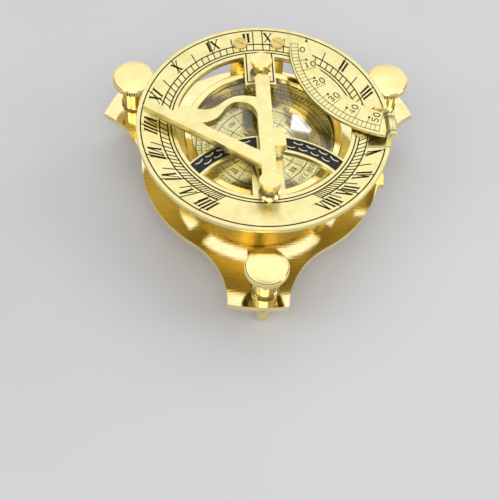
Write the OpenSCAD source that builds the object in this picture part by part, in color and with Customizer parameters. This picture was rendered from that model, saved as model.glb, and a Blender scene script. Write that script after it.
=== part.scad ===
// Brass sundial compass: a hinged hour dial over a glazed compass, on a base
// with three arms and three levelling screws.
// X points east, Y north and Z up. The origin is on the compass axis, level with
// the ends of the feet.

/* [Base] */
// Radius of the base plate's round body
base_r = 44.5; // [44:0.1:45]
// Thickness of the base plate
base_t = 2.7; // [2.4:0.1:3.2]
// Height of the base plate's underside above the ends of the feet
base_z = 16.8; // [14:0.2:18]
// Turn of the base plate and its arms under the dial, in degrees
base_turn = -2; // [-3:0.5:1]
// Distance from a levelling screw's axis to the tip of its arm
arm_past = 7.9; // [7:0.1:9]
// Half the width of an arm at its tip
arm_half_w = 10.8; // [9.6:0.2:12]
// Radius of the hollow flank between an arm and the body
flank_r = 29.3; // [28:0.1:30]

/* [Levelling screws] */
// Radius of the circle on which the three screws stand
screw_circle_r = 55.3; // [55:0.1:56]
// Radius of a knurled head
knob_r = 7.85; // [7:0.05:8]
// Thickness of a knurled head
knob_t = 3; // [2.4:0.1:3.4]
// Height of the top of a head above the ends of the feet
knob_top_z = 34.6; // [33:0.1:35]
// Number of ribs round a head
knob_ribs = 56; // [40:4:64]
// Radius of the hub below a head
hub_r = 4.5; // [4:0.1:5]
// Radius of a leg
leg_r = 2.75; // [2.5:0.05:3]

/* [Compass] */
// Outer radius of the bowl
bowl_r = 28.3; // [28:0.1:28.6]
// Height of the top of the bezel above the ends of the feet
bezel_z = 37.3; // [36.6:0.1:37.6]
// Depth of the card's top below the top of the bezel
card_drop = 9; // [8.7:0.1:9.8]
// Thickness of the glass
glass_t = 1.3; // [1:0.1:1.6]
// Half the length of the needle
needle_half = 21; // [18:0.5:22]
// Bearing of the needle from north at rest, in degrees
needle_turn = -3; // [-10:1:10]

/* [Dial] */
// Outer radius of the hour ring
ring_r = 46; // [45.6:0.1:46.4]
// Radius of the ring's opening
ring_open_r = 31.7; // [31:0.1:32]
// Thickness of the ring
ring_t = 2; // [1.8:0.1:2.2]
// Space between the bezel and the ring's underside
dial_gap = 3; // [3:0.1:3.7]
// Half the width of the tongue and of the fork
fork_half_w = 5.7; // [5.5:0.1:6]
// Half the width of the space between the fork's tines
fork_gap = 3; // [2.8:0.1:3.2]
// Outer radius of the curved band across the opening
band_outer_r = 38; // [37.8:0.1:38.4]
// Inner radius of the curved band across the opening
band_inner_r = 31; // [30.6:0.1:31.2]

/* [Gnomon] */
// Height of the axis on which the gnomon folds above the top of the ring
fold_h = 4.5; // [4.3:0.1:4.9]
// Thickness of the gnomon
gnomon_t = 3.3; // [3:0.1:3.5]
// Half the width of the gnomon's spine
spine_half_w = 2.6; // [2.4:0.1:2.8]
// Radius of the pivot pins
pivot_r = 0.8; // [0.7:0.05:0.9]

/* [Latitude arc] */
// Thickness of the arc
arc_t = 1.2; // [1:0.1:1.4]
// Distance of the arc's fold axis from the centre
arc_axis_x = 45.4; // [45.2:0.1:45.6]
// Height of the arc's fold axis above the top of the ring
arc_axis_h = 1.7; // [1.5:0.1:2.1]

/* [Hidden] */
$fn = 96;
brass = [0.87, 0.72, 0.34];
bright_brass = [0.96, 0.86, 0.5];
steel = [0.72, 0.74, 0.77];
enamel = [0.2, 0.2, 0.21];
slack = 0.05;
touch = 0.01;

base_top = base_z + base_t;
ring_z = bezel_z + dial_gap;
ring_top = ring_z + ring_t;
fold_z = ring_top + fold_h;
arc_axis_z = ring_top + arc_axis_h;
arm_angles = [for (i = [0:2]) base_turn - 90 + i * 120];
arm_leans = [-2.2, 1, 0];
arm_tip_r = screw_circle_r + arm_past;
flank_y = arm_half_w + flank_r;
flank_x = sqrt(pow(base_r + flank_r, 2) - pow(flank_y, 2));
arm_root_w = 2 * flank_y * base_r / (base_r + flank_r);
ear_root_x = 35.5;
ear_y = [-12, 2];

hub_gap = 0.3;
hub_z = base_top + hub_gap;
hub_rim = 0.5;
knob_z = knob_top_z - knob_t;
knob_bevel = 0.35;
knob_dome = 0.25;
leg_top = knob_z - 1.5;
rib_depth = 0.3;

small_screw_r = 0.9;
small_head_r = 2;
small_head_t = 1.2;
drill_gap = 0.5;

bowl_wall_t = 3.1;
bowl_floor_t = 2.2;
bowl_inner_r = bowl_r - bowl_wall_t;
floor_rim_w = 3.2;
recess_r = bowl_inner_r - floor_rim_w;
bowl_screw_circle_r = (recess_r + bowl_r) / 2;
bowl_screw_len = 3.5;
card_z = bezel_z - card_drop;
card_t = 0.8;
card_gap = 0.1;
card_r = bowl_inner_r - card_gap;
card_under_z = card_z - card_t;
floor_z = card_under_z - bowl_floor_t;
pivot_seat_r = 1.2;
needle_half_w = 1.8;
needle_t = 0.5;
needle_z = card_z + 3.2;
needle_hole_r = 0.8;
cap_z = needle_z + needle_t;
cap_r = 1.7;
cap_h = 1.5;
cap_bore_r = 0.6;
cap_bore_h = 0.9;
glass_ledge = 1.2;
glass_r = bowl_inner_r + glass_ledge;
bezel_t = 0.5;
bezel_lap = 0.5;
bezel_skirt_h = 2.6;
glass_z = bezel_z - bezel_t - glass_t;
bowl_top = bezel_z - bezel_t;

knuckle_r = 2.1;
hinge_inset = 6;
hinge_y = ring_r - hinge_inset;
hinge_z = ring_z - knuckle_r - 0.3;
hinge_pin_r = 1.1;
hinge_side_gap = 0.4;
swing_gap = 1.4;
bracket_half_w = 10;
bracket_d = 5.4;
bracket_past = 0.9;
bracket_y = [hinge_y + bracket_past - bracket_d, hinge_y + bracket_past];
bracket_top = hinge_z - knuckle_r - swing_gap;
bracket_screws = [for (side = [-1, 1])
    [side * 0.65 * bracket_half_w, (bracket_y[0] + bracket_y[1]) / 2]];
bracket_screw_len = 5;
centre_knuckle = 3.7;
leaf_t = 1.2;
leaf_d = 8.8;
leaf_past = 2;
leaf_y = [hinge_y + leaf_past - leaf_d, hinge_y + leaf_past];
leaf_screws = [[-6.7, hinge_y - 2.2], [7.3, hinge_y - 2.3]];
leaf_head_r = 2.6;
leaf_head_t = 0.7;

ring_root = 0.5;
notch_floor_r = 38;
notch_y = [-11.8, 5.9];
tongue_end_y = 18.4;
tongue_end_r = 20.4;
fork_end_y = -12.6;
fork_floor_y = -26.8;
heel_reach = 6.8;
heel_y = [-14.7, -6.9];
heel_gap = 0.2;
heel_sweep_r = sqrt(pow(heel_reach, 2) + pow(gnomon_t / 2, 2));
heel_slot_x = [-gnomon_t / 2 - 0.5,
    sqrt(max(1, pow(heel_sweep_r, 2) - pow(fold_z - ring_top, 2))) + heel_gap];
heel_slot_y = [heel_y[0] - heel_gap, heel_y[1] + heel_gap];
band_centre_y = -43.2;
inlay_t = 0.4;
inlay_gap_x = [-3.2, 7.5];
outer_rail = 0.8;
inner_rail = 1.3;

pillar_y = [22.6, -30.8];
pillar_r = 3.9;
pillar_h = fold_h + 3.6;
pillar_waist_r = 3.4;
pillar_neck_r = 1.8;
pillar_bevel = 0.35;
spigot_r = 1.5;

spine_ends = [-26.6, 18.4];
pivot_depth = 5;
pivot_seat = 0.8;
blade_unit = (spine_ends[1] - spine_ends[0]) / 45;

arc_outer_r = 40.3;
arc_outer_at = [51.6, 31.1];
arc_inner_r = 40.2;
arc_inner_at = [58.8, 39.1];
arc_end_y = 36.2;
arc_knuckle_r = 2;
arc_pin_r = 0.8;
arc_knuckle_y = [-6.6, -0.5];
arc_ear_t = 1.4;
arc_ear_gap = 0.3;
arc_pin_end = 0.2;
arc_plate_t = 1.2;
arc_plate_x = 32.2;
arc_plate_y = [-9.6, 3.4];
arc_screws = [[arc_plate_x + 2, -5.5], [arc_plate_x + 3, 1.6]];
arc_head_r = 1.7;
arc_head_t = 0.5;
plate_z = ring_z - arc_plate_t;
neck_t = 1.9;
neck_x = arc_axis_x - 0.9 * arc_knuckle_r;
neck_top = arc_axis_z - arc_knuckle_r - 0.4;
arc_post_gap = 0.4;
post_t = 1.6;
ear_x = neck_x + post_t;
post_foot_w = 8.4;
post_foot_x = ear_x - post_foot_w;
post_foot_y = [-10.5, 0.5];
post_foot_t = 1.6;
post_y = [-7.8, 0.2];
post_screw = [(post_foot_x + neck_x) / 2, (post_foot_y[0] + post_foot_y[1]) / 2];
post_head_r = 2.1;
post_head_t = 0.8;

// Points along a cubic curve with two end points and two handles
function curve(a, b, c, d, steps = 8) = [
    for (i = [0:steps]) let (t = i / steps, s = 1 - t)
        s * s * s * a + 3 * s * s * t * b + 3 * s * t * t * c + t * t * t * d
];

// Shared shapes

module at_arm(i) {
    rotate([0, 0, arm_angles[i]]) translate([screw_circle_r, 0, 0]) children();
}

module at_ring(r, count, start = 0) {
    for (i = [0:count - 1])
        rotate([0, 0, start + i * 360 / count]) translate([r, 0, 0]) children();
}

module along_y(y, r, x = 0, z = fold_z) {
    translate([x, y[1], z]) rotate([90, 0, 0]) cylinder(h = y[1] - y[0], r = r);
}

module along_x(x, r, y, z) {
    translate([x[0], y, z]) rotate([0, 90, 0]) cylinder(h = x[1] - x[0], r = r);
}

// A screw with a slotted round head: the head's underside is at z = 0
module slotted_screw(head_r, head_t, shank_r, shank_len, slot_turn = 0) {
    difference() {
        cylinder(h = head_t, r = head_r);
        rotate([0, 0, slot_turn])
            translate([-head_r - 1, -head_r / 7, head_t * 0.5])
                cube([2 * head_r + 2, head_r / 3.5, head_t]);
    }
    translate([0, 0, -shank_len]) cylinder(h = shank_len + touch, r = shank_r);
}

// A cheese-headed screw driven upwards through the base plate
module screw_from_below(len) {
    translate([0, 0, base_z]) mirror([0, 0, 1])
        slotted_screw(small_head_r, small_head_t, small_screw_r, len);
}

// Base

// An arm along X, whose hollow flanks run smoothly into the round body
module arm_outline() {
    difference() {
        intersection() {
            translate([0, -arm_root_w / 2]) square([arm_tip_r + 1, arm_root_w]);
            circle(arm_tip_r);
        }
        for (side = [-1, 1]) translate([flank_x, side * flank_y]) circle(flank_r);
    }
}

module base_outline() {
    circle(base_r);
    for (i = [0:2]) rotate(arm_angles[i] + arm_leans[i]) arm_outline();
    translate([ear_root_x, ear_y[0]]) square([ear_x - ear_root_x, ear_y[1] - ear_y[0]]);
}

module base_plate() {
    color(brass) difference() {
        translate([0, 0, base_z]) linear_extrude(base_t) base_outline();
        for (i = [0:2]) at_arm(i) translate([0, 0, base_z - 1])
            cylinder(h = base_t + 2, r = leg_r + slack);
        at_ring(bowl_screw_circle_r, 3, 30) translate([0, 0, base_z - 1])
            cylinder(h = base_t + 2, r = small_screw_r);
        for (p = concat(bracket_screws, [post_screw])) translate([p[0], p[1], base_z - 1])
            cylinder(h = base_t + 2, r = small_screw_r);
    }
}

// Levelling screws

module levelling_knob(i) {
    bore_h = leg_top - hub_z + 0.2;
    c = knob_bevel;
    color(bright_brass) at_arm(i) difference() {
        union() {
            translate([0, 0, knob_z + c]) linear_extrude(knob_t - 2.5 * c)
                polygon([for (k = [0:2 * knob_ribs - 1])
                    let (a = k * 180 / knob_ribs, r = knob_r - rib_depth * (k % 2))
                        [r * cos(a), r * sin(a)]]);
            rotate_extrude() polygon(concat(
                [[0, hub_z], [hub_r + 0.2 * hub_rim, hub_z]],
                [for (a = [-60:30:60]) [hub_r + 0.2 * hub_rim + 0.8 * hub_rim * cos(a),
                    hub_z + hub_rim * (1 + sin(a))]],
                [[hub_r, hub_z + 2.4 * hub_rim], [hub_r, knob_z - 2 * hub_rim],
                 [hub_r + 1.6 * hub_rim, knob_z], [knob_r - 2 * c, knob_z],
                 [knob_r - c, knob_z + c], [knob_r - c, knob_top_z - 1.5 * c],
                 [knob_r - 1.8 * c, knob_top_z - knob_dome]],
                [for (k = [3:-1:0]) [knob_r * k / 4,
                    knob_top_z - knob_dome * pow(k / 4, 2)]]));
        }
        translate([0, 0, hub_z - 1]) cylinder(h = bore_h + 1, r = leg_r + slack);
    }
}

module levelling_leg(i) {
    color(brass) at_arm(i) cylinder(h = leg_top, r = leg_r);
}

// Compass

module compass_bowl() {
    color(brass) difference() {
        translate([0, 0, base_top]) cylinder(h = bowl_top - base_top, r = bowl_r);
        translate([0, 0, card_under_z]) cylinder(h = bowl_top, r = bowl_inner_r);
        translate([0, 0, glass_z]) cylinder(h = bowl_top, r = glass_r);
        translate([0, 0, base_top - 1]) cylinder(h = floor_z - base_top + 1, r = recess_r);
        at_ring(bowl_screw_circle_r, 3, 30) translate([0, 0, base_top - 1])
            cylinder(h = bowl_screw_len + drill_gap + 1, r = small_screw_r);
        cylinder(h = bowl_top, r = pivot_seat_r);
    }
}

module bowl_screws() {
    color(brass) at_ring(bowl_screw_circle_r, 3, 30) screw_from_below(base_t + bowl_screw_len);
}

module compass_card() {
    color("ivory") translate([0, 0, card_under_z]) difference() {
        cylinder(h = card_t, r = card_r);
        translate([0, 0, -1]) cylinder(h = card_t + 2, r = pivot_seat_r);
    }
}

// A stem through the bowl's floor, with a flange below and a point for the needle
module needle_pivot() {
    r = pivot_seat_r;
    point_z = cap_z + cap_bore_h - 0.2;
    color(steel) rotate_extrude() polygon([[0, floor_z - r / 2], [1.6 * r, floor_z - r / 2],
        [1.6 * r, floor_z], [r, floor_z], [r, card_z + r], [r / 2, card_z + 1.5 * r],
        [0.2 * r, point_z - 0.2], [0, point_z]]);
}

module compass_needle() {
    color(steel) translate([0, 0, needle_z]) linear_extrude(needle_t)
        rotate(needle_turn) difference() {
            polygon([[0, needle_half], [needle_half_w, 0], [0, -needle_half],
                     [-needle_half_w, 0]]);
            circle(needle_hole_r);
        }
}

module needle_cap() {
    color(bright_brass) difference() {
        rotate_extrude() polygon([[0, cap_z], [cap_r, cap_z], [cap_r, cap_z + 0.25 * cap_h],
            [cap_r / 2, cap_z + 0.85 * cap_h], [0, cap_z + cap_h]]);
        translate([0, 0, cap_z - touch]) cylinder(h = cap_bore_h + touch, r = cap_bore_r);
    }
}

module compass_glass() {
    color([0.8, 0.9, 0.95, 0.35]) translate([0, 0, glass_z])
        cylinder(h = glass_t, r = glass_r - slack);
}

// Lies on the bowl's wall and the glass, with a skirt round the wall
module glass_bezel() {
    t = bezel_t;
    in_r = glass_r - bezel_lap;
    color(bright_brass) rotate_extrude() polygon([
        [in_r, bowl_top], [bowl_r, bowl_top], [bowl_r, bezel_z - bezel_skirt_h + t / 2],
        [bowl_r + t, bezel_z - bezel_skirt_h], [bowl_r + t, bezel_z - 0.8 * t],
        [bowl_r + 0.2 * t, bezel_z], [in_r + 0.6 * t, bezel_z], [in_r, bezel_z - 0.6 * t]]);
}

// Tilt hinge, north of the bowl

module hinge_bracket() {
    color(brass) difference() {
        union() {
            translate([-bracket_half_w, bracket_y[0], base_top])
                cube([2 * bracket_half_w, bracket_y[1] - bracket_y[0], bracket_top - base_top]);
            translate([-centre_knuckle, hinge_y - 0.95 * knuckle_r, bracket_top - touch])
                cube([2 * centre_knuckle, bracket_y[1] - hinge_y + 0.95 * knuckle_r,
                      hinge_z - bracket_top + touch]);
            along_x([-centre_knuckle, centre_knuckle], knuckle_r, hinge_y, hinge_z);
        }
        along_x([-ring_r, ring_r], hinge_pin_r, hinge_y, hinge_z);
        for (p = bracket_screws) translate([p[0], p[1], base_top - 1])
            cylinder(h = bracket_screw_len + drill_gap + 1, r = small_screw_r);
    }
}

module hinge_bracket_screws() {
    color(brass) for (p = bracket_screws) translate([p[0], p[1], 0])
        screw_from_below(base_t + bracket_screw_len);
}

module hinge_pin() {
    half = bracket_half_w + 0.4;
    color(bright_brass) along_x([-half, half], hinge_pin_r, hinge_y, hinge_z);
}

module hinge_leaf() {
    inner = centre_knuckle + hinge_side_gap;
    gap_r = knuckle_r + 0.7;
    color(brass) difference() {
        union() {
            translate([-bracket_half_w, leaf_y[0], ring_z - leaf_t])
                cube([2 * bracket_half_w, leaf_y[1] - leaf_y[0], leaf_t]);
            along_x([-bracket_half_w, bracket_half_w], knuckle_r, hinge_y, hinge_z);
        }
        translate([-inner, hinge_y - gap_r, hinge_z - 2 * gap_r])
            cube([2 * inner, 3 * gap_r, 4 * gap_r]);
        along_x([-ring_r, ring_r], hinge_pin_r + slack, hinge_y, hinge_z);
        for (p = leaf_screws) translate([p[0], p[1], ring_z - leaf_t - 1])
            cylinder(h = leaf_t + 2, r = small_screw_r);
    }
}

module hinge_leaf_screws() {
    color(bright_brass) for (i = [0, 1])
        translate([leaf_screws[i][0], leaf_screws[i][1], ring_top])
            slotted_screw(leaf_head_r, leaf_head_t, small_screw_r, ring_t + leaf_t - 0.1, -35);
}

// Dial

module band_outline(outer, inner) {
    intersection() {
        translate([0, band_centre_y]) difference() {
            circle(outer);
            circle(inner);
        }
        circle(ring_open_r + ring_root);
    }
}

// Step in the ring's east edge, below the arc's hinge
module notch_outline() {
    difference() {
        translate([0, notch_y[0]]) square([2 * ring_r, notch_y[1] - notch_y[0]]);
        circle(notch_floor_r);
    }
}

module tongue_outline() {
    difference() {
        translate([-fork_half_w, 0]) square([2 * fork_half_w, ring_open_r + ring_root]);
        translate([0, tongue_end_y - tongue_end_r]) circle(tongue_end_r);
    }
}

module fork_outline() {
    difference() {
        translate([-fork_half_w, -ring_open_r - ring_root])
            square([2 * fork_half_w, ring_open_r + ring_root + fork_end_y]);
        translate([-fork_gap, fork_floor_y]) square([2 * fork_gap, -fork_floor_y]);
    }
}

module ring_outline() {
    difference() {
        union() {
            difference() {
                circle(ring_r);
                circle(ring_open_r);
                notch_outline();
            }
            tongue_outline();
            fork_outline();
            band_outline(band_outer_r, band_inner_r);
        }
        translate([heel_slot_x[0], heel_slot_y[0]])
            square([heel_slot_x[1] - heel_slot_x[0], heel_slot_y[1] - heel_slot_y[0]]);
    }
}

module inlay_outline() {
    difference() {
        band_outline(band_outer_r - outer_rail, band_inner_r + inner_rail);
        translate([inlay_gap_x[0], -ring_r])
            square([inlay_gap_x[1] - inlay_gap_x[0], 2 * ring_r]);
    }
}

module hour_ring() {
    color(brass) difference() {
        translate([0, 0, ring_z]) linear_extrude(ring_t) ring_outline();
        translate([0, 0, ring_top - inlay_t]) linear_extrude(ring_t) inlay_outline();
        for (y = pillar_y) translate([0, y, ring_z - 1])
            cylinder(h = ring_t + 2, r = spigot_r);
        for (p = concat(leaf_screws, arc_screws)) translate([p[0], p[1], ring_z - 1])
            cylinder(h = ring_t + 2, r = small_screw_r);
    }
}

module band_inlay() {
    color(enamel) translate([0, 0, ring_top - inlay_t]) linear_extrude(inlay_t)
        inlay_outline();
}

// A waisted pillar with a bore for a pivot pin, which enters from side 1 or -1
module pillar(y, side) {
    waist_z = ring_top + 0.87 * fold_h;
    color(bright_brass) difference() {
        translate([0, y, 0]) union() {
            translate([0, 0, ring_z]) cylinder(h = ring_t + touch, r = spigot_r);
            rotate_extrude() difference() {
                union() {
                    translate([0, ring_top]) square([pillar_r, pillar_h]);
                    translate([0, ring_top + pillar_h])
                        square([pillar_r - pillar_bevel, pillar_bevel]);
                }
                translate([pillar_neck_r + pillar_waist_r, waist_z]) circle(pillar_waist_r);
            }
        }
        along_y(side > 0 ? [y - 1, y + 2 * pillar_r] : [y - 2 * pillar_r, y + 1],
            pivot_r + slack);
    }
}

module north_pillar() { pillar(pillar_y[0], -1); }

module south_pillar() { pillar(pillar_y[1], 1); }

// Gnomon, folded down to the west

// Blade, whose upper edge casts the shadow, and its curled brace, drawn for a spine
// 45 mm long
module blade_outline() {
    w = spine_half_w / blade_unit;
    scale([blade_unit, blade_unit]) polygon(concat(
        [[-w + 0.5, 7.4]],
        curve([-w, 7.4], [-9.5, 9], [-12.5, 7.4], [-16, 4]),
        curve([-16, 4], [-19, 1.4], [-22.5, 1.4], [-26, 3.3]),
        curve([-26, 3.3], [-28.8, 4.8], [-30.5, 3.6], [-32.4, 1.7]),
        [[-40.7, 6.8], [-43.2, 4.3], [-w, -22.3], [-w + 0.5, -22.3],
         [-w + 0.5, -16.6], [-w, -16.6], [-20.7, -5.5], [-22.3, -3.9]],
        curve([-22.3, -3.9], [-18, -3.2], [-16.4, -1.6], [-14.6, 1.4]),
        curve([-14.6, 1.4], [-12.6, 5.2], [-9.6, 5.6], [-7, 4.9]),
        curve([-7, 4.9], [-4, 4], [-3, 2], [-w, -0.6]),
        [[-w + 0.5, -0.6]]));
}

// Heel, which swings down through a slot in the dial as the gnomon is raised
module heel_outline() {
    x = heel_reach;
    polygon([[0, heel_y[0]], [x - 0.6, heel_y[0]], [x, heel_y[0] + 0.6],
             [0.93 * x, heel_y[1] - 2.2], [0.83 * x, heel_y[1] - 0.7],
             [0.7 * x, heel_y[1]], [0, heel_y[1]]]);
}

// Spine with a round north end, heel and blade
module gnomon_outline() {
    w = spine_half_w;
    translate([-w, spine_ends[0]]) square([2 * w, spine_ends[1] - w - spine_ends[0]]);
    translate([0, spine_ends[1] - w]) circle(w);
    heel_outline();
    blade_outline();
}

module gnomon() {
    color(bright_brass) difference() {
        translate([0, 0, fold_z - gnomon_t / 2]) linear_extrude(gnomon_t) gnomon_outline();
        along_y([spine_ends[1] - pivot_depth, spine_ends[1] + 1], pivot_r);
        along_y([spine_ends[0] - 1, spine_ends[0] + pivot_depth], pivot_r);
    }
}

module gnomon_pivot_pins() {
    color(steel) {
        along_y([spine_ends[1] - pivot_depth, pillar_y[0] + pivot_seat], pivot_r);
        along_y([pillar_y[1] - pivot_seat, spine_ends[0] + pivot_depth], pivot_r);
    }
}

// Latitude arc, folded down over the dial

module arc_outline() {
    intersection() {
        difference() {
            translate(arc_outer_at) circle(arc_outer_r);
            translate(arc_inner_at) circle(arc_inner_r);
        }
        union() {
            translate([0, arc_end_y - arc_outer_r - arc_inner_r])
                square([arc_axis_x - arc_knuckle_r - arc_ear_gap, arc_outer_r + arc_inner_r]);
            translate([0, arc_knuckle_y[0]])
                square([arc_axis_x - 0.8 * arc_knuckle_r, arc_knuckle_y[1] - arc_knuckle_y[0]]);
        }
    }
}

module latitude_arc() {
    color(bright_brass) difference() {
        union() {
            translate([0, 0, arc_axis_z - arc_t / 2]) linear_extrude(arc_t) arc_outline();
            along_y(arc_knuckle_y, arc_knuckle_r, arc_axis_x, arc_axis_z);
        }
        along_y([-ring_r, ring_r], arc_pin_r + slack, arc_axis_x, arc_axis_z);
    }
}

module arc_hinge_pin() {
    past = arc_ear_gap + arc_ear_t + arc_pin_end;
    color(steel) along_y([arc_knuckle_y[0] - past, arc_knuckle_y[1] + past], arc_pin_r,
        arc_axis_x, arc_axis_z);
}

// Bracket under the ring's east side, with two ears for the arc's knuckle
module arc_bracket() {
    south_y = arc_knuckle_y[0] - arc_ear_gap;
    north_y = arc_knuckle_y[1] + arc_ear_gap;
    ears = [[south_y - arc_ear_t, south_y], [north_y, north_y + arc_ear_t]];
    color(brass) difference() {
        union() {
            translate([arc_plate_x, arc_plate_y[0], plate_z])
                cube([neck_x + neck_t - arc_plate_x, arc_plate_y[1] - arc_plate_y[0],
                      arc_plate_t]);
            translate([neck_x, ears[0][0], plate_z])
                cube([neck_t, ears[1][1] - ears[0][0], neck_top - plate_z]);
            for (y = ears) {
                along_y(y, arc_knuckle_r, arc_axis_x, arc_axis_z);
                translate([neck_x, y[0], plate_z]) cube([neck_t, y[1] - y[0], arc_axis_z - plate_z]);
            }
        }
        along_y([-ring_r, ring_r], arc_pin_r, arc_axis_x, arc_axis_z);
        for (p = arc_screws) translate([p[0], p[1], plate_z - 1])
            cylinder(h = arc_plate_t + 2, r = small_screw_r);
    }
}

module arc_bracket_screws() {
    color(brass) for (p = arc_screws) translate([p[0], p[1], ring_top])
        slotted_screw(arc_head_r, arc_head_t, small_screw_r, ring_t + arc_plate_t - 0.1, 40);
}

// Post on the base plate, which stands up to the bracket when the dial is down
module arc_post() {
    top = plate_z - arc_post_gap;
    color(brass) difference() {
        union() {
            translate([post_foot_x, post_foot_y[0], base_top])
                cube([ear_x - post_foot_x, post_foot_y[1] - post_foot_y[0], post_foot_t]);
            translate([neck_x, post_y[0], base_top])
                cube([ear_x - neck_x, post_y[1] - post_y[0], top - base_top]);
        }
        translate([post_screw[0], post_screw[1], base_top - 1])
            cylinder(h = post_foot_t + 2, r = small_screw_r);
    }
}

module arc_post_screw() {
    color(bright_brass) translate([post_screw[0], post_screw[1], base_top + post_foot_t])
        slotted_screw(post_head_r, post_head_t, small_screw_r, base_t + post_foot_t - 0.4, 25);
}

base_plate();
compass_bowl();
bowl_screws();
compass_card();
needle_pivot();
compass_needle();
needle_cap();
compass_glass();
glass_bezel();
hinge_bracket();
hinge_bracket_screws();
hinge_pin();
hinge_leaf();
hinge_leaf_screws();
hour_ring();
band_inlay();
north_pillar();
south_pillar();
gnomon();
gnomon_pivot_pins();
latitude_arc();
arc_hinge_pin();
arc_bracket();
arc_bracket_screws();
arc_post();
arc_post_screw();
levelling_knob(0);  // levelling_knob_front
levelling_knob(1);  // levelling_knob_right
levelling_knob(2);  // levelling_knob_left
levelling_leg(0);  // levelling_leg_front
levelling_leg(1);  // levelling_leg_right
levelling_leg(2);  // levelling_leg_left
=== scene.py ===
"""Looks of the brass sundial compass: materials, engraving, prints and threads.

Sizes are in millimetres and become metres in the meshes; materials and the studio are
in metres. X points east, Y north and Z up; the origin is level with the feet's ends.
Bearings are in degrees, counterclockwise from east.
"""

import math

import bpy
from mathutils import Matrix, Vector

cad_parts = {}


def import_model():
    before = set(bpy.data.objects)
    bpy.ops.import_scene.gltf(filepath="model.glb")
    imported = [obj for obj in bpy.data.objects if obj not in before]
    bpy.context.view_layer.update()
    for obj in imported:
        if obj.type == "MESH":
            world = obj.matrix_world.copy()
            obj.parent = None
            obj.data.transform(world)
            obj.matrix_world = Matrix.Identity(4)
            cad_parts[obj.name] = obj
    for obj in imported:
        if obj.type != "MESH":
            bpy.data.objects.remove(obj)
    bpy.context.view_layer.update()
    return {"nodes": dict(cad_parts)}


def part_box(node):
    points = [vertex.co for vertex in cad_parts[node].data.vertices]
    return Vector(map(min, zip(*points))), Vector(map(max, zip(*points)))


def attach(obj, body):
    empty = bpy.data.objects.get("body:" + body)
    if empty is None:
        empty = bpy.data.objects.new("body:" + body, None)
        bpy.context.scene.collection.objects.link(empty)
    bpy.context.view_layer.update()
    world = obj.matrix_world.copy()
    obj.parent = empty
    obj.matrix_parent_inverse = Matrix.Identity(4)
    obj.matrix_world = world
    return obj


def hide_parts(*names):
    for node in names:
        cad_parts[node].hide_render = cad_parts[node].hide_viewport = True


MM = 0.001
LEG_SIDES = ("front", "right", "left")

# Filled lines stand this far out of the surface and reach this far into it
MARK_HEIGHT = 0.03
MARK_SINK = 0.02

# Lines on the dial, from its rim inwards
LINE_W = 0.48
TICK_W = 0.8 * LINE_W
BORDER_R = 44.3
HALF_TICK_R = 41.4
LADDER_OUT = 37.5
LADDER_IN = 34.6
INNER_LINE_R = 33.4
OPENING_R = 31.7

# The border's line runs between these bearings and leaves out the arc's bracket
BORDER_START = 8
BORDER_END = 344

# Hours are counted from noon. Noon itself has two lines, one beside each face of the
# gnomon, and NOON is a moment off it, whose sign picks one of them. The lines of a half
# day start from the foot of the gnomon's face on that side.
NOON = 0.0001
LAST_HOUR = 8
DEGREES_PER_HOUR = 15
CELLS_PER_HOUR = 6
STYLE_FOOT = (1.75, -23.5)

# The line round the tongue of the ring
TONGUE_LINE_X = 4.8
TONGUE_LINE_Y = 19.2
TONGUE_LINE_OUT = INNER_LINE_R - 0.6
TONGUE_LINE_BOW = 0.5

# Roman numerals between two circles
NUMERAL_IN = 38.5
NUMERAL_OUT = 43.1
THICK = 0.85
THIN = 0.42
SERIF = 0.05

# Hours from noon, the numeral, and how far it stands beside its line.
# The numeral of noon is split by the gap between the two noon lines.
NUMERALS = [
    (-8, "IIII", -0.75), (-7, "V", -1.8), (-6, "VI", -1.35), (-5, "VII", -1.85),
    (-4, "VIII", -1.4), (-3, "IX", 0.0), (-2, "X", -0.2), (-1, "XI", -1.2),
    (-NOON, "II", 2.5), (NOON, "X", -2.1),
    (1, "I", 0.0), (2, "II", -0.75), (3, "III", 0.1), (4, "IIII", -0.75),
    (5, "V", -0.25), (6, "VI", -0.35), (7, "VII", 0.1), (8, "VIII", -1.2),
]

# Crescents on the inlay of the curved band, clear of its ends and its plain middle.
# Their step and spread are bearings about the band's centre.
BAND_CENTRE = (0.0, -43.2)
BAND_END_MARGIN = 2
BAND_PLAIN = (-5.6, 8.8)
CRESCENT_ROWS = (33.7, 35.8)
CRESCENT_STEP = 7.6
CRESCENTS_PER_SIDE = 10
CRESCENT_SPREAD = 1.35
CRESCENT_BOW = 0.55
CRESCENT_DROP = 0.3
CRESCENT_W = 0.42
CRESCENT_HEIGHT = 0.04

# The latitude arc's scale: two rails with six cells to every ten degrees.
# Ten degrees of the scale take up ARC_STEP of bearing.
ARC_TOP = 44.6
ARC_CENTRE = (51.3, 31.6)
ARC_RAIL_OUT = 39.3
ARC_RAIL_IN = 36.7
ARC_RAIL_START = 173.5
ARC_RAIL_END = 254.4
ARC_RAIL_W = 0.26
ARC_TICK_W = 0.2
ARC_FIRST = 179.2
ARC_STEP = 15.05
ARC_TENS = 5
ARC_CELLS = 6
ARC_CELLS_BEFORE = 2
ARC_FIRST_TICK_IN = ARC_RAIL_IN - 0.6
ARC_LONG_IN = 31.6
ARC_DOT_R = 34.2
ARC_DOT_SIZE = 0.48
ARC_LABEL_R = 33.4
ARC_LABEL_BACK = 3.6
ARC_ZERO_OUT = 1.7
ARC_ZERO_BACK = 0.8
ARC_DIGIT = 1.65
ARC_DIGIT_W = 0.4
ARC_DIGIT_WIDE = 1.15

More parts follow.
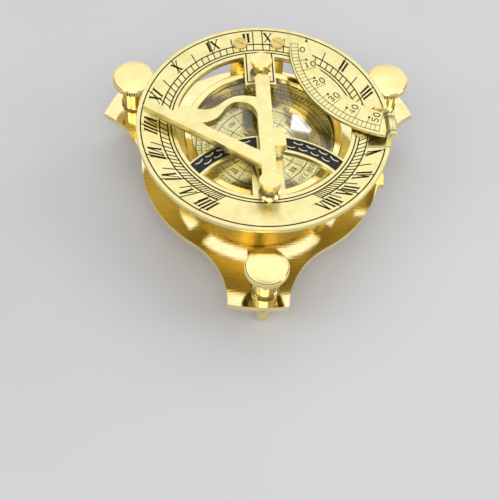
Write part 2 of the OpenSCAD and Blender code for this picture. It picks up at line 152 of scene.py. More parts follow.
# Circles and signs on the compass card; steps are bearings
CARD_RIM_R = 24.4
CARD_DEGREE_R = 22.3
CARD_NUMBER_R = 20.0
CARD_POINT_R = 17.6
CARD_LETTER_R = 15.0
CARD_ROSE_R = 12.4
CARD_HUB_R = 4.2
CARD_RIM_W = 0.35
CARD_POINT_W = 0.3
CARD_LINE_W = 0.25
CARD_TICK_W = 0.26
CARD_TICK_STEP = 3
CARD_TICK_SHORT = 1.0
CARD_SPOKES = 16
CARD_SPOKE_W = 0.22
CARD_NUMBER_STEP = 15
CARD_NUMBER = 1.1
CARD_NUMBER_W = 0.28
CARD_LETTER = 1.7
CARD_SMALL_LETTER = 1.2
CARD_LETTER_W = 0.4
CARD_PRINT_HEIGHT = 0.02
CARD_CIRCLE_STEP = 4
POINT_STEP = 45
COMPASS_POINTS = ("N", "NE", "E", "SE", "S", "SW", "W", "NW")

# Rays of the rose: the reach of the tip and of the shoulders
ROSE_MAIN_RAY = (CARD_ROSE_R, 3.4)
ROSE_HALF_RAY = (9.5, 3.0)
ROSE_FOOT = 1.6
ROSE_PRINT_HEIGHT = 0.025

# Thread of the legs, with a plain foot below it. Crest and flank are shares of half
# a pitch.
THREAD_PITCH = 0.8
THREAD_DEPTH = 0.25
THREAD_START = 6.5
THREAD_CREST = 0.3
THREAD_FLANK = 0.6
FOOT_CHAMFER = 1.1
TOP_CHAMFER = 0.6
LEG_CREST_GAP = 0.01
LEG_END_LIP = 0.08
LEG_ROUND_STEPS = 40
LEG_ROWS_PER_TURN = 8


# Curves and outlines


def polar(radius, degrees, centre=(0.0, 0.0)):
    """The point at a bearing on a circle."""
    a = math.radians(degrees)
    return (centre[0] + radius * math.cos(a), centre[1] + radius * math.sin(a))


def bearing_of(point):
    return math.degrees(math.atan2(point.y, point.x))


def arc_points(radius, start, end, centre=(0.0, 0.0), step=2.0):
    """Points along an arc, about one to every step of bearing."""
    count = max(2, int(abs(end - start) / step))
    return [
        polar(radius, start + (end - start) * i / count, centre)
        for i in range(count + 1)
    ]


def circle_points(radius, step=2):
    return arc_points(radius, 0, 360 - step, step=step)


def top_of(node):
    """Height of a node's top face."""
    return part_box(node)[1][2] / MM


class Marks:
    """Thin flat shapes at one height, gathered into one mesh."""

    def __init__(self, surface, height=MARK_HEIGHT):
        self.low = surface - MARK_SINK
        self.high = surface + height
        self.verts = []
        self.faces = []

    def shape(self, outline):
        """A filled prism over a closed outline."""
        area = sum(
            a[0] * b[1] - b[0] * a[1]
            for a, b in zip(outline, outline[1:] + outline[:1])
        )
        if area < 0:
            outline = outline[::-1]
        count = len(outline)
        first = len(self.verts)
        for z in (self.low, self.high):
            self.verts += [(x * MM, y * MM, z * MM) for x, y in outline]
        self.faces.append([first + i for i in reversed(range(count))])
        self.faces.append([first + count + i for i in range(count)])
        for i in range(count):
            j = (i + 1) % count
            self.faces.append(
                [first + i, first + j, first + count + j, first + count + i]
            )

    def line(self, points, width, closed=False):
        """A line of even width along the points."""
        left = []
        right = []
        count = len(points)
        for i, (x, y) in enumerate(points):
            if closed:
                before = points[i - 1]
                after = points[(i + 1) % count]
            else:
                before = points[max(i - 1, 0)]
                after = points[min(i + 1, count - 1)]
            along = Vector((after[0] - before[0], after[1] - before[1])).normalized()
            side = Vector((-along.y, along.x)) * width / 2
            left.append((x + side.x, y + side.y))
            right.append((x - side.x, y - side.y))
        steps = count if closed else count - 1
        for i in range(steps):
            j = (i + 1) % count
            self.shape([left[i], left[j], right[j], right[i]])

    def dot(self, centre, radius, sides=14):
        self.shape([polar(radius, 360 * i / sides, centre) for i in range(sides)])

    def piece(self, name, material, body, slot):
        return add_piece(name, self.verts, self.faces, material, body)


def add_piece(name, verts, faces, material, body, smooth=False):
    """A mesh of its own that moves with a body."""
    mesh = bpy.data.meshes.new(name)
    mesh.from_pydata(verts, [], faces)
    mesh.update()
    mesh.materials.append(material)
    for face in mesh.polygons:
        face.use_smooth = smooth
    piece = bpy.data.objects.new(name, mesh)
    bpy.context.scene.collection.objects.link(piece)
    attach(piece, body)
    return piece


# Letters and digits


def stroke(foot, head, width):
    """A stroke as (across, up as a share of the numeral's height)."""
    half = width / 2
    return [(foot - half, 0.0), (foot + half, 0.0), (head + half, 1.0), (head - half, 1.0)]


def serif(start, end, at_top):
    """A thin bar along the top or the foot of a letter."""
    low, high = (1.0 - SERIF, 1.0) if at_top else (0.0, SERIF)
    return [(start, low), (end, low), (end, high), (start, high)]


# The width of each letter and its strokes
ROMAN_LETTERS = {
    "I": (1.5, [
        stroke(0.75, 0.75, THICK),
        serif(0.1, 1.4, True),
        serif(0.1, 1.4, False),
    ]),
    "V": (3.0, [
        stroke(1.75, 0.75, THICK),
        stroke(1.75, 2.7, THIN),
        serif(0.0, 1.5, True),
        serif(2.2, 3.1, True),
    ]),
    "X": (3.8, [
        stroke(3.2, 0.6, THICK),
        stroke(0.7, 3.1, THIN),
        serif(0.0, 1.3, True),
        serif(2.6, 3.6, True),
        serif(0.2, 1.2, False),
        serif(2.5, 3.8, False),
    ]),
}


def roman(text):
    """The strokes of a whole numeral, centred."""
    shapes = []
    place = 0.0
    for letter in text:
        advance, strokes = ROMAN_LETTERS[letter]
        shapes += [[(x + place, up) for x, up in s] for s in strokes]
        place += advance
    return [[(x - place / 2, up) for x, up in s] for s in shapes]


# Digits and letters as lines on a field one wide and 1.6 high
SIGN_MIDDLE = 0.8
SIGN_ADVANCE = 1.3
SIGN_MARGIN = 0.15
SIGN_LINES = {
    "0": [[(0.5 + 0.42 * math.cos(a), 0.8 + 0.72 * math.sin(a))
           for a in [math.radians(20 * i) for i in range(19)]]],
    "1": [[(0.2, 1.2), (0.5, 1.52), (0.5, 0.08)], [(0.25, 0.08), (0.75, 0.08)]],
    "2": [[(0.1, 1.15), (0.18, 1.4), (0.5, 1.52), (0.82, 1.38), (0.88, 1.1),
           (0.7, 0.8), (0.1, 0.1), (0.92, 0.1)]],
    "3": [[(0.1, 1.3), (0.45, 1.52), (0.8, 1.35), (0.8, 1.02), (0.42, 0.84),
           (0.84, 0.66), (0.88, 0.3), (0.48, 0.08), (0.08, 0.3)]],
    "4": [[(0.7, 0.06), (0.7, 1.52), (0.06, 0.5), (0.96, 0.5)]],
    "5": [[(0.85, 1.5), (0.22, 1.5), (0.16, 0.88), (0.5, 0.96), (0.86, 0.74),
           (0.86, 0.34), (0.5, 0.08), (0.1, 0.24)]],
    "6": [[(0.8, 1.4), (0.5, 1.52), (0.18, 1.1), (0.12, 0.45), (0.5, 0.08),
           (0.88, 0.42), (0.55, 0.86), (0.16, 0.6)]],
    "7": [[(0.1, 1.5), (0.9, 1.5), (0.4, 0.06)]],
    "8": [[(0.5, 0.84), (0.14, 1.16), (0.5, 1.52), (0.86, 1.16), (0.5, 0.84),
           (0.08, 0.44), (0.5, 0.08), (0.92, 0.44), (0.5, 0.84)]],
    "9": [[(0.84, 1.0), (0.45, 0.74), (0.12, 1.18), (0.5, 1.52), (0.88, 1.15),
           (0.82, 0.5), (0.5, 0.08), (0.2, 0.2)]],
    "N": [[(0.1, 0.08), (0.1, 1.52), (0.9, 0.08), (0.9, 1.52)]],
    "E": [[(0.9, 1.5), (0.15, 1.5), (0.15, 0.1), (0.9, 0.1)], [(0.15, 0.82), (0.75, 0.82)]],
    "S": [[(0.88, 1.3), (0.5, 1.52), (0.14, 1.25), (0.2, 0.92), (0.8, 0.66), (0.86, 0.3),
           (0.5, 0.08), (0.1, 0.32)]],
    "W": [[(0.0, 1.52), (0.25, 0.08), (0.5, 1.1), (0.75, 0.08), (1.0, 1.52)]],
}


def write(marks, text, at, turn, size, width, wide=1.0):
    """Signs centred at a point; turn is the bearing in which they are read."""
    along = Vector(polar(1, turn))
    up = Vector((-along.y, along.x))
    across = size * wide
    half = SIGN_ADVANCE / 2
    start = Vector(at) - along * half * across * len(text) - up * SIGN_MIDDLE * size
    for i, sign in enumerate(text):
        corner = start + along * across * (SIGN_ADVANCE * i + SIGN_MARGIN)
        for points in SIGN_LINES[sign]:
            marks.line([corner + along * x * across + up * y * size for x, y in points], width)


# Materials. Each noise is its scale in features to the metre, and its detail. A span is
# the part of the noise over which one colour gives way to the next.

WHITE = (1, 1, 1)
NOISE_LOW = 0.3
NOISE_HIGH = 0.7
NOISE_ROUGHNESS = 0.55

TARNISH_NOISE = (120, 5)
TARNISH_SPAN = (0.3, 0.62)
WEAR_NOISE = (380, 6)
SPOT_NOISE = (900, 3)
SPOT_SPAN = (0.24, 0.34)
SPOT_TONE = (0.45, 0.4, 0.3)
BRUSH_DETAIL = 3
STREAK_SPAN = (0.4, 0.58)
STREAK_TONE = (0.55, 0.5, 0.42)
GRAIN_RELIEF = 0.00004
RIPPLE_NOISE = (260, 2)
RIPPLE_RELIEF = 0.0002

MOTTLE_NOISE = (700, 5)
MOTTLE_SPAN = (0.32, 0.66)
PAINT_GRAIN_NOISE = (2600, 3)
PAINT_RELIEF = 0.00003
PAINT_GRAIN_DEPTH = 0.1

GLASS_TINT = (0.93, 0.95, 0.93, 1)
GLASS_BLEND = 0.5
GLASS_SHINE_AHEAD = 0.06
GLASS_SHINE_ASLANT = 0.9
GLASS_SHINE_POWER = 5.0
SMEAR_NOISE = (60, 4)
SMEAR_ROUGHNESS = 0.04


def new_material(name):
    material = bpy.data.materials.new(name)
    material.use_nodes = True
    tree = material.node_tree
    return material, tree, tree.nodes["Principled BSDF"]


def link_noise(tree, scale, detail, stretch=(1, 1, 1)):
    """Noise in the object's own coordinates, stretched along its axes."""
    place = tree.nodes.new("ShaderNodeTexCoord")
    mapping = tree.nodes.new("ShaderNodeMapping")
    mapping.inputs["Scale"].default_value = stretch
    noise = tree.nodes.new("ShaderNodeTexNoise")
    noise.inputs["Scale"].default_value = scale
    noise.inputs["Detail"].default_value = detail
    noise.inputs["Roughness"].default_value = NOISE_ROUGHNESS
    tree.links.new(place.outputs["Object"], mapping.inputs["Vector"])
    tree.links.new(mapping.outputs["Vector"], noise.inputs["Vector"])
    return noise.outputs["Fac"]


def link_ramp(tree, source, span, colours):
    """A colour for each place in the span, and blends of them in between."""
    ramp = tree.nodes.new("ShaderNodeValToRGB")
    elements = ramp.color_ramp.elements
    while len(elements) < len(span):
        elements.new(0.5)
    for element, place, colour in zip(elements, span, colours):
        element.position = place
        element.color = (*colour, 1.0)
    tree.links.new(source, ramp.inputs["Fac"])
    return ramp.outputs["Color"]


def link_range(tree, source, low, high):
    """Maps the usual reach of a noise onto low to high."""
    span = tree.nodes.new("ShaderNodeMapRange")
    span.inputs["From Min"].default_value = NOISE_LOW
    span.inputs["From Max"].default_value = NOISE_HIGH
    span.inputs["To Min"].default_value = low
    span.inputs["To Max"].default_value = high
    tree.links.new(source, span.inputs["Value"])
    return span.outputs["Result"]


def link_bump(tree, source, distance, strength, before=None):
    """Relief on top of the relief before it, if there is one."""
    bump = tree.nodes.new("ShaderNodeBump")
    bump.inputs["Strength"].default_value = strength
    bump.inputs["Distance"].default_value = distance
    tree.links.new(source, bump.inputs["Height"])
    if before is not None:
        tree.links.new(before, bump.inputs["Normal"])
    return bump.outputs["Normal"]


def link_multiply(tree, amount, first, second):
    """The first colour darkened by the second one, by the given amount.

    The sockets have numbers because the Mix node repeats their names for each data type.
    """
    mix = tree.nodes.new("ShaderNodeMix")
    mix.data_type = "RGBA"
    mix.blend_type = "MULTIPLY"
    mix.inputs[0].default_value = amount
    tree.links.new(first, mix.inputs[6])
    tree.links.new(second, mix.inputs[7])
    return mix.outputs[2]


def metal(name, dark, light, rough, grain, stretch, depth, spots, streaks=0.0, wave=0.03):
    """Metal with cloudy tarnish, brushed grain and small handling marks.

    grain, stretch and depth are the brushing's scale, direction and relief, and streaks
    is how far it darkens the colour. wave is the relief of slow ripples.
    """
    material, tree, shader = new_material(name)
    shader.inputs["Metallic"].default_value = 1.0
    tarnish = link_noise(tree, *TARNISH_NOISE)
    colour = link_ramp(tree, tarnish, TARNISH_SPAN, (dark, light))
    specks = link_noise(tree, *SPOT_NOISE)
    dirt = link_ramp(tree, specks, SPOT_SPAN, (SPOT_TONE, WHITE))
    colour = link_multiply(tree, spots, colour, dirt)
    brushed = link_noise(tree, grain, BRUSH_DETAIL, stretch)
    if streaks > 0:
        lines = link_ramp(tree, brushed, STREAK_SPAN, (STREAK_TONE, WHITE))
        colour = link_multiply(tree, streaks, colour, lines)
    tree.links.new(colour, shader.inputs["Base Color"])
    wear = link_noise(tree, *WEAR_NOISE)
    tree.links.new(link_range(tree, wear, *rough), shader.inputs["Roughness"])
    ripple = link_noise(tree, *RIPPLE_NOISE)
    relief = link_bump(tree, brushed, GRAIN_RELIEF, depth)
    relief = link_bump(tree, ripple, RIPPLE_RELIEF, wave, relief)
    tree.links.new(relief, shader.inputs["Normal"])
    return material


def paint(name, dark, light, rough, shine=0.5):
    """Ink or enamel with a slight mottling."""
    material, tree, shader = new_material(name)
    shader.inputs["Specular IOR Level"].default_value = shine
    mottle = link_noise(tree, *MOTTLE_NOISE)
    colour = link_ramp(tree, mottle, MOTTLE_SPAN, (dark, light))
    tree.links.new(colour, shader.inputs["Base Color"])
    tree.links.new(link_range(tree, mottle, *rough), shader.inputs["Roughness"])
    grain = link_noise(tree, *PAINT_GRAIN_NOISE)
    relief = link_bump(tree, grain, PAINT_RELIEF, PAINT_GRAIN_DEPTH)
    tree.links.new(relief, shader.inputs["Normal"])
    return material


def clear_glass():
    """Thin glass: what is behind shows through, and both faces reflect."""
    material, tree, shader = new_material("compass_glass_clear")
    tree.nodes.remove(shader)
    through = tree.nodes.new("ShaderNodeBsdfTransparent")
    through.inputs["Color"].default_value = GLASS_TINT
    gloss = tree.nodes.new("ShaderNodeBsdfGlossy")
    smear = link_noise(tree, *SMEAR_NOISE)
    tree.links.new(link_range(tree, smear, 0.0, SMEAR_ROUGHNESS), gloss.inputs["Roughness"])
    slant = tree.nodes.new("ShaderNodeLayerWeight")
    slant.inputs["Blend"].default_value = GLASS_BLEND
    rise = tree.nodes.new("ShaderNodeMath")
    rise.operation = "POWER"
    rise.inputs[1].default_value = GLASS_SHINE_POWER
    share = tree.nodes.new("ShaderNodeMapRange")
    share.inputs["To Min"].default_value = GLASS_SHINE_AHEAD
    share.inputs["To Max"].default_value = GLASS_SHINE_ASLANT
    mix = tree.nodes.new("ShaderNodeMixShader")
    output = tree.nodes["Material Output"]
    tree.links.new(slant.outputs["Facing"], rise.inputs[0])
    tree.links.new(rise.outputs["Value"], share.inputs["Value"])
    tree.links.new(share.outputs["Result"], mix.inputs["Fac"])
    tree.links.new(through.outputs["BSDF"], mix.inputs[1])
    tree.links.new(gloss.outputs["BSDF"], mix.inputs[2])
    tree.links.new(mix.outputs["Shader"], output.inputs["Surface"])
    return material


def make_materials():
    return {
        "polished": metal(
            "polished_brass_turned", dark=(0.89, 0.72, 0.35), light=(0.96, 0.84, 0.46),
            rough=(0.03, 0.09), grain=1900, stretch=(0.06, 1, 1), depth=0.4,
            spots=0.25, streaks=0.22, wave=0.02,
        ),
        "bright": metal(
            "bright_brass_machined", dark=(0.85, 0.69, 0.29), light=(0.92, 0.8, 0.39),
            rough=(0.08, 0.18), grain=2600, stretch=(1, 1, 0.2), depth=0.12, spots=0.15,
        ),
        "turned": metal(
            "turned_brass_pillar", dark=(0.8, 0.64, 0.26), light=(0.89, 0.75, 0.35),
            rough=(0.17, 0.26), grain=2600, stretch=(1, 1, 0.2), depth=0.08, spots=0.1,
        ),
        # The screws' brass is darker than the rest: partly painted shade of their slots and
        # tilted heads, partly their own coppery tone.
        "tan": metal(
            "screw_brass_shade_darkened", dark=(0.6, 0.45, 0.17), light=(0.76, 0.6, 0.26),
            rough=(0.2, 0.34), grain=2400, stretch=(0.2, 1, 1), depth=0.3, spots=0.3,
        ),
        "satin": metal(
            "satin_brass_brushed", dark=(0.86, 0.75, 0.33), light=(0.92, 0.83, 0.41),
            rough=(0.26, 0.4), grain=1500, stretch=(0.12, 1, 1), depth=0.35, spots=0.2,
        ),
        "steel": metal(
            "polished_steel", dark=(0.5, 0.5, 0.5), light=(0.68, 0.68, 0.68),
            rough=(0.12, 0.24), grain=2400, stretch=(1, 0.1, 1), depth=0.25, spots=0.2,
        ),
        "ink": paint(
            "engraving_wax", dark=(0.014, 0.012, 0.003), light=(0.04, 0.034, 0.01),
            rough=(0.45, 0.65), shine=0.15,
        ),
        "fine_ink": paint(
            "engraving_wax_worn", dark=(0.06, 0.06, 0.03), light=(0.16, 0.15, 0.07),
            rough=(0.45, 0.65), shine=0.2,
        ),
        "enamel": paint(
            "inlay_enamel", dark=(0.012, 0.012, 0.014), light=(0.032, 0.032, 0.036),
            rough=(0.3, 0.45), shine=0.25,
        ),
        "cream": paint(
            "cream_enamel", dark=(0.75, 0.7, 0.42), light=(0.92, 0.88, 0.6),
            rough=(0.3, 0.45),
        ),
        "card": metal(
            "compass_card_gilt", dark=(0.7, 0.52, 0.18), light=(0.92, 0.8, 0.42),
            rough=(0.1, 0.2), grain=1800, stretch=(1, 1, 1), depth=0.2, spots=0.35,
        ),
        "print": paint(
            "compass_card_ink", dark=(0.015, 0.014, 0.01), light=(0.05, 0.045, 0.03),
            rough=(0.5, 0.7),
        ),
        "glass": clear_glass(),
    }


NODE_LOOKS = {
    "polished": [
        "base_plate", "compass_bowl", "bowl_screws", "hinge_bracket",
        "hinge_bracket_screws", "hinge_leaf",
    ],
    "bright": [
        "glass_bezel", "hinge_pin", "arc_post",
        "levelling_knob_front", "levelling_knob_right", "levelling_knob_left",
        "levelling_leg_front", "levelling_leg_right", "levelling_leg_left",
        "needle_cap", "arc_hinge_pin",
    ],
    "tan": ["hinge_leaf_screws", "arc_bracket_screws", "arc_post_screw"],
    "turned": ["north_pillar", "south_pillar"],
    "satin": ["hour_ring", "gnomon", "latitude_arc", "arc_bracket"],
    "steel": ["needle_pivot", "compass_needle", "gnomon_pivot_pins"],
    "enamel": ["band_inlay"],
    "card": ["compass_card"],
    "glass": ["compass_glass"],
}

# Width of the worn edge of each node, on every edge sharper than EDGE_ANGLE
EDGE_WEAR = {
    "base_plate": 0.35,
    "hour_ring": 0.2,
    "gnomon": 0.25,
    "latitude_arc": 0.15,
    "arc_bracket": 0.15,
    "arc_post": 0.15,
    "hinge_bracket": 0.2,
    "hinge_leaf": 0.12,
}
EDGE_ANGLE = 40
EDGE_SEGMENTS = 2
WELD_REACH = 0.002


def dress_nodes(nodes, looks):
    """Gives each node its material, and worn edges to the large ones."""
    for look, names in NODE_LOOKS.items():
        for name in names:
            node = nodes[name]
            node.data.materials.clear()
            node.data.materials.append(looks[look])
    for name, width in EDGE_WEAR.items():
        weld = nodes[name].modifiers.new("weld", "WELD")
        weld.merge_threshold = WELD_REACH * MM
        bevel = nodes[name].modifiers.new("edge", "BEVEL")
        bevel.width = width * MM
        bevel.segments = EDGE_SEGMENTS
        bevel.limit_method = "ANGLE"
        bevel.angle_limit = math.radians(EDGE_ANGLE)
        bevel.harden_normals = False


# Engraving on the dial


def hour_line_point(hours, radius):
    """Where the line of an hour before or after noon crosses a circle."""
    side = 1 if hours > 0 else -1
    foot = Vector((side * STYLE_FOOT[0], STYLE_FOOT[1]))
    way = Vector(polar(1, 90 - DEGREES_PER_HOUR * hours))
    near = foot.dot(way)
    reach = -near + math.sqrt(near * near - foot.length_squared + radius * radius)
    return foot + way * reach


def beside_hour_line(hours, radius, across):
    """A point across from an hour line, to the right when read from outside."""
    bearing = bearing_of(hour_line_point(hours, radius))
    middle = (NUMERAL_IN + NUMERAL_OUT) / 2
    return polar(radius, bearing + math.degrees(across / middle))


def engrave_numerals(looks):
    """Four in the morning to eight in the evening, with the tops toward the centre."""
    marks = Marks(top_of("hour_ring"))
    height = NUMERAL_OUT - NUMERAL_IN
    for hours, text, shift in NUMERALS:
        for outline in roman(text):
            marks.shape([
                beside_hour_line(hours, NUMERAL_OUT - up * height, x + shift)
                for x, up in outline
            ])
    marks.piece("dial_roman_numerals", looks["ink"], "dial", "enamel")


def engrave_hour_scale(looks):
    """Ladder with a cell for every ten minutes and longer lines on hours and halves."""
    marks = Marks(top_of("hour_ring"))
    east, west = [bearing_of(hour_line_point(s * LAST_HOUR, LADDER_OUT)) for s in (1, -1)]
    marks.line(arc_points(LADDER_OUT, east, west % 360), LINE_W)
    marks.line(circle_points(LADDER_IN), LINE_W, closed=True)
    long_ticks = {0: BORDER_R, CELLS_PER_HOUR // 2: HALF_TICK_R}
    for step in range(LAST_HOUR * CELLS_PER_HOUR + 1):
        outer = long_ticks.get(step % CELLS_PER_HOUR, LADDER_OUT)
        for side in (-1, 1):
            hours = side * max(step / CELLS_PER_HOUR, NOON)
            ends = [hour_line_point(hours, radius) for radius in (LADDER_IN, outer)]
            marks.line(ends, TICK_W)
    marks.piece("dial_hour_scale", looks["ink"], "dial", "enamel")


def engrave_borders(looks):
    """The open line near the rim and the closed one round the opening."""
    marks = Marks(top_of("hour_ring"))
    marks.line(arc_points(BORDER_R, BORDER_START, BORDER_END), LINE_W)
    marks.line(circle_points(INNER_LINE_R), LINE_W, closed=True)
    marks.piece("dial_border_lines", looks["ink"], "dial", "enamel")


def engrave_tongue_line(looks):
    """Down both sides of the tongue and along its bowed end."""
    marks = Marks(top_of("hour_ring"))
    for x in (TONGUE_LINE_X, -TONGUE_LINE_X):
        marks.line([(x, TONGUE_LINE_OUT), (x, TONGUE_LINE_Y)], LINE_W)
    bow = [
        (TONGUE_LINE_X * t, TONGUE_LINE_Y + TONGUE_LINE_BOW * (1 - t * t))
        for t in (1, 0.6, 0.3, 0, -0.3, -0.6, -1)
    ]
    marks.line(bow, LINE_W)
    marks.piece("dial_tongue_line", looks["ink"], "dial", "enamel")


def inlay_crescents(looks):
    """Two staggered rows of small crescents along the curved band."""
    marks = Marks(top_of("band_inlay"), CRESCENT_HEIGHT)
    for row, radius in enumerate(CRESCENT_ROWS):
        for k in range(-CRESCENTS_PER_SIDE, CRESCENTS_PER_SIDE + 1):
            bearing = 90 + (k + 0.5 * row) * CRESCENT_STEP
            x, y = polar(radius, bearing, BAND_CENTRE)
            past_end = math.hypot(x, y) > OPENING_R - BAND_END_MARGIN
            if past_end or BAND_PLAIN[0] < x < BAND_PLAIN[1]:
                continue
            bend = [
                polar(
                    radius + CRESCENT_BOW * (t / 2) ** 2 - CRESCENT_DROP,
                    bearing - CRESCENT_SPREAD * t,
                    BAND_CENTRE,
                )
                for t in (-2, -1.4, -0.7, 0, 0.7, 1.4, 2)
            ]
            marks.line(bend, CRESCENT_W)
    marks.piece("inlay_crescent_marks", looks["cream"], "dial", "enamel")


# Engraving on the latitude arc


def engrave_latitude_scale(looks):
    """Rails and cells; a line reaches further in at every ten degrees and every five."""
    marks = Marks(ARC_TOP)
    for radius in (ARC_RAIL_OUT, ARC_RAIL_IN):
        marks.line(arc_points(radius, ARC_RAIL_START, ARC_RAIL_END, ARC_CENTRE), ARC_RAIL_W)
    for k in range(-ARC_CELLS_BEFORE, ARC_TENS * ARC_CELLS + 1):
        tens_in = ARC_LONG_IN if k > 0 else ARC_FIRST_TICK_IN
        long_ticks = {0: tens_in, ARC_CELLS // 2: ARC_DOT_R}
        inner = long_ticks.get(k % ARC_CELLS, ARC_RAIL_IN)
        bearing = ARC_FIRST + k * ARC_STEP / ARC_CELLS
        ends = [polar(radius, bearing, ARC_CENTRE) for radius in (inner, ARC_RAIL_OUT)]
        marks.line(ends, ARC_TICK_W)
    marks.piece("arc_degree_scale", looks["fine_ink"], "latitude_arc", "enamel")


def engrave_latitude_numbers(looks):
    """Zero to fifty, and a dot at the middle of every ten degrees."""
    marks = Marks(ARC_TOP)
    for k in range(ARC_TENS + 1):
        line = ARC_FIRST + k * ARC_STEP
        bearing = line - ARC_ZERO_BACK
        radius = ARC_LABEL_R + ARC_ZERO_OUT
        if k > 0:
            bearing = line - ARC_LABEL_BACK
            radius = ARC_LABEL_R
            marks.dot(polar(ARC_DOT_R, line - ARC_STEP / 2, ARC_CENTRE), ARC_DOT_SIZE)
        write(
            marks, str(10 * k), polar(radius, bearing, ARC_CENTRE), bearing + 180,
            ARC_DIGIT, ARC_DIGIT_W, wide=ARC_DIGIT_WIDE,
        )
    marks.piece("arc_degree_numbers", looks["ink"], "latitude_arc", "enamel")


# Compass card


def print_card(looks):
    """Degree ring with numbers, and the compass points between spokes."""
    marks = Marks(top_of("compass_card"), CARD_PRINT_HEIGHT)
    circles = (
        (CARD_RIM_R, CARD_RIM_W),
        (CARD_DEGREE_R, CARD_LINE_W),
        (CARD_POINT_R, CARD_POINT_W),
        (CARD_ROSE_R, CARD_LINE_W),
        (CARD_HUB_R, CARD_LINE_W),
    )
    for radius, width in circles:
        marks.line(circle_points(radius, CARD_CIRCLE_STEP), width, closed=True)
    for k in range(360 // CARD_TICK_STEP):
        outer = CARD_RIM_R if k % 2 else CARD_RIM_R - CARD_TICK_SHORT
        tick = [polar(radius, CARD_TICK_STEP * k) for radius in (CARD_DEGREE_R, outer)]
        marks.line(tick, CARD_TICK_W)
    for degrees in range(0, 360, CARD_NUMBER_STEP):
        place = polar(CARD_NUMBER_R, 90 - degrees)
        write(marks, str(degrees), place, -degrees, CARD_NUMBER, CARD_NUMBER_W)
    for k, point in enumerate(COMPASS_POINTS):
        size = CARD_LETTER if len(point) == 1 else CARD_SMALL_LETTER
        place = polar(CARD_LETTER_R, 90 - POINT_STEP * k)
        write(marks, point, place, -POINT_STEP * k, size, CARD_LETTER_W)
    for k in range(CARD_SPOKES):
        bearing = 360 / CARD_SPOKES * (k + 0.5)
        spoke = [polar(radius, bearing) for radius in (CARD_HUB_R, CARD_POINT_R)]
        marks.line(spoke, CARD_SPOKE_W)
    marks.piece("card_degree_print", looks["print"], "base", "card")


def print_rose(looks):
    """Eight rays, each filled on one side and outlined on the other."""
    rose = Marks(top_of("compass_card"), ROSE_PRINT_HEIGHT)
    for k in range(len(COMPASS_POINTS)):
        bearing = POINT_STEP * k
        reach, shoulder = ROSE_HALF_RAY if k % 2 else ROSE_MAIN_RAY
        foot = polar(ROSE_FOOT, bearing)
        tip = polar(reach, bearing)
        rose.shape([foot, polar(shoulder, bearing - POINT_STEP / 2), tip])
        rose.line([tip, polar(shoulder, bearing + POINT_STEP / 2)], CARD_LINE_W)
    rose.piece("card_rose_print", looks["print"], "base", "card")


# Threads on the legs


def thread_drop(phase):
    """Depth of the thread below its crest, as a share, over one pitch."""
    phase %= 1.0
    off_crest = 2 * min(phase, 1.0 - phase)
    return min(1.0, max(0.0, (off_crest - THREAD_CREST) / THREAD_FLANK))


def leg_rings(crest, height):
    """Rings of (radius, bearing, height), with a small flat lip inside each end."""
    rows = round(height / THREAD_PITCH * LEG_ROWS_PER_TURN)
    rings = []
    for i in range(rows + 1):
        z = height * i / rows
        bevel = max(0.0, FOOT_CHAMFER - z, TOP_CHAMFER - (height - z))
        run = min(z - THREAD_START, height - z)
        fade = min(1.0, max(0.0, run / THREAD_PITCH))
        ring = []
        for j in range(LEG_ROUND_STEPS):
            turn = j / LEG_ROUND_STEPS
            cut = THREAD_DEPTH * fade * thread_drop(z / THREAD_PITCH - turn)
            ring.append((crest - max(bevel, cut), 360 * turn, z))
        rings.append(ring)
    foot, top = [
        [(radius - LEG_END_LIP, bearing, z) for radius, bearing, z in ring]
        for ring in (rings[0], rings[-1])
    ]
    return [foot, *rings, top]


def threaded_leg(side, looks):
    """A leg with a plain foot, and its thread from there up into the knob."""
    node = f"levelling_leg_{side}"
    low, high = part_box(node)
    centre = [(low[i] + high[i]) / 2 / MM for i in range(2)]
    crest = (high[0] - low[0]) / 2 / MM - LEG_CREST_GAP
    rings = leg_rings(crest, (high[2] - low[2]) / MM)
    verts = []
    for ring in rings:
        for radius, bearing, z in ring:
            x, y = polar(radius, bearing, centre)
            verts.append((x * MM, y * MM, low[2] + z * MM))
    count = LEG_ROUND_STEPS
    faces = [list(range(count - 1, -1, -1))]
    for i in range(len(rings) - 1):
        here = i * count
        above = here + count
        for j in range(count):
            k = (j + 1) % count
            faces.append([here + j, here + k, above + k, above + j])
    last = (len(rings) - 1) * count
    faces.append([last + j for j in range(count)])
    leg = add_piece(
        f"leg_thread_{side}", verts, faces, looks["bright"],
        f"leg_{side}", smooth=True,
    )
    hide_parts(node)


# Studio

FLOOR_SIZE = 6.0
FLOOR_ROUGHNESS = 0.6
FLOOR_NOISE = (6, 2)
FLOOR_SPAN = (0.3, 0.7)
FLOOR_TONES = ((0.78, 0.79, 0.82), (0.83, 0.84, 0.87))

# The sky's tones by height, from eye level at 0 to straight up at 1
SKY_SPAN = (0.0, 0.4, 0.85)
SKY_TONES = ((0.15, 0.14, 0.13), (0.36, 0.34, 0.33), (0.9, 0.9, 0.92))
SKY_STRENGTH = 0.56

# Where each light stands, its size, its power in watts and its colour
LIGHT_AIM = (0, 0, 0.03)
LIGHTS = {
    "overhead": ((0.05, 0.55, 0.8), (0.9, 0.6), 1.35, WHITE),
    "window": ((0.133, 0.675, 0.9), (0.026, 0.02), 0.016, (0.92, 0.95, 1)),
    "key": ((-0.6, -0.3, 0.7), (0.4, 0.4), 1.0, (1, 0.98, 0.94)),
    "fill": ((0.7, -0.2, 0.5), (0.4, 0.6), 1.3, (0.97, 0.98, 1)),
    "side": ((0.9, 0.6, 0.45), (0.5, 0.5), 1.6, (1, 0.99, 0.96)),
    "front": ((-0.09, -0.72, 1.03), (0.8, 0.6), 3.1, (1, 0.97, 0.92)),
}

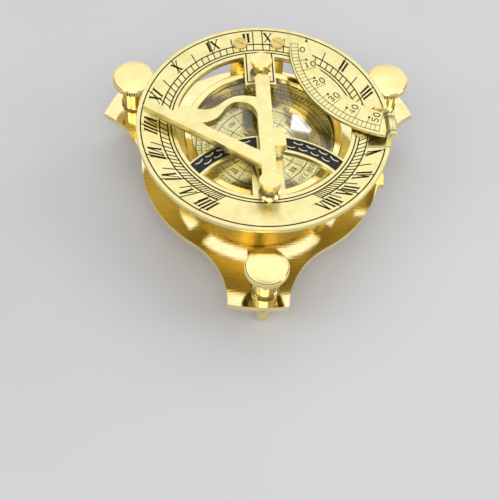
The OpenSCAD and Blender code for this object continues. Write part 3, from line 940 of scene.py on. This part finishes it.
# The camera as solved from the circles in the photo. Its turns are in radians, and its
# lens and sensor in millimetres.
CAMERA_PLACE = (-0.03524, -0.27607, 0.39749)
CAMERA_HEADING = -0.121
CAMERA_TILT = 0.563
CAMERA_ROLL = 0.078
CAMERA_LENS = 90.05
CAMERA_SENSOR = 36.0
CAMERA_NEAR = 0.01
CAMERA_FAR = 20.0


def add_floor():
    mesh = bpy.data.meshes.new("studio_floor")
    size = FLOOR_SIZE
    mesh.from_pydata(
        [(-size, -size, 0), (size, -size, 0), (size, size, 0), (-size, size, 0)],
        [], [[0, 1, 2, 3]],
    )
    material, tree, shader = new_material("studio_floor_paper")
    cloud = link_noise(tree, *FLOOR_NOISE)
    tones = link_ramp(tree, cloud, FLOOR_SPAN, FLOOR_TONES)
    tree.links.new(tones, shader.inputs["Base Color"])
    shader.inputs["Roughness"].default_value = FLOOR_ROUGHNESS
    mesh.materials.append(material)
    floor = bpy.data.objects.new("studio_floor", mesh)
    bpy.context.scene.collection.objects.link(floor)


def add_light(name, place, size, power, colour):
    data = bpy.data.lights.new(name, "AREA")
    data.shape = "RECTANGLE"
    data.size, data.size_y = size
    data.energy = power
    data.color = colour
    light = bpy.data.objects.new(name, data)
    light.location = place
    way = Vector(LIGHT_AIM) - Vector(place)
    light.rotation_euler = way.to_track_quat("-Z", "Y").to_euler()
    bpy.context.scene.collection.objects.link(light)


def add_world():
    """A sky that is dark up to eye level, and grey and then pale above."""
    world = bpy.data.worlds.new("studio")
    bpy.context.scene.world = world
    world.use_nodes = True
    tree = world.node_tree
    background = tree.nodes["Background"]
    place = tree.nodes.new("ShaderNodeTexCoord")
    split = tree.nodes.new("ShaderNodeSeparateXYZ")
    tree.links.new(place.outputs["Generated"], split.inputs["Vector"])
    tones = link_ramp(tree, split.outputs["Z"], SKY_SPAN, SKY_TONES)
    tree.links.new(tones, background.inputs["Color"])
    background.inputs["Strength"].default_value = SKY_STRENGTH


def add_camera():
    data = bpy.data.cameras.new("camera")
    data.sensor_fit = "HORIZONTAL"
    data.sensor_width = CAMERA_SENSOR
    data.lens = CAMERA_LENS
    data.dof.use_dof = False
    data.clip_start = CAMERA_NEAR
    data.clip_end = CAMERA_FAR
    camera = bpy.data.objects.new("camera", data)
    turn = (
        Matrix.Rotation(CAMERA_HEADING, 4, "Z")
        @ Matrix.Rotation(CAMERA_TILT, 4, "X")
        @ Matrix.Rotation(CAMERA_ROLL, 4, "Z")
    )
    camera.matrix_world = Matrix.Translation(CAMERA_PLACE) @ turn
    bpy.context.scene.collection.objects.link(camera)
    bpy.context.scene.camera = camera


def main():
    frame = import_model()
    bpy.context.scene.view_settings.view_transform = "Standard"
    add_camera()
    add_world()
    add_floor()
    for name, settings in LIGHTS.items():
        add_light(name, *settings)
    looks = make_materials()
    dress_nodes(frame["nodes"], looks)
    engrave_numerals(looks)
    engrave_hour_scale(looks)
    engrave_borders(looks)
    engrave_tongue_line(looks)
    inlay_crescents(looks)
    engrave_latitude_scale(looks)
    engrave_latitude_numbers(looks)
    print_card(looks)
    print_rose(looks)
    for side in LEG_SIDES:
        threaded_leg(side, looks)


main()
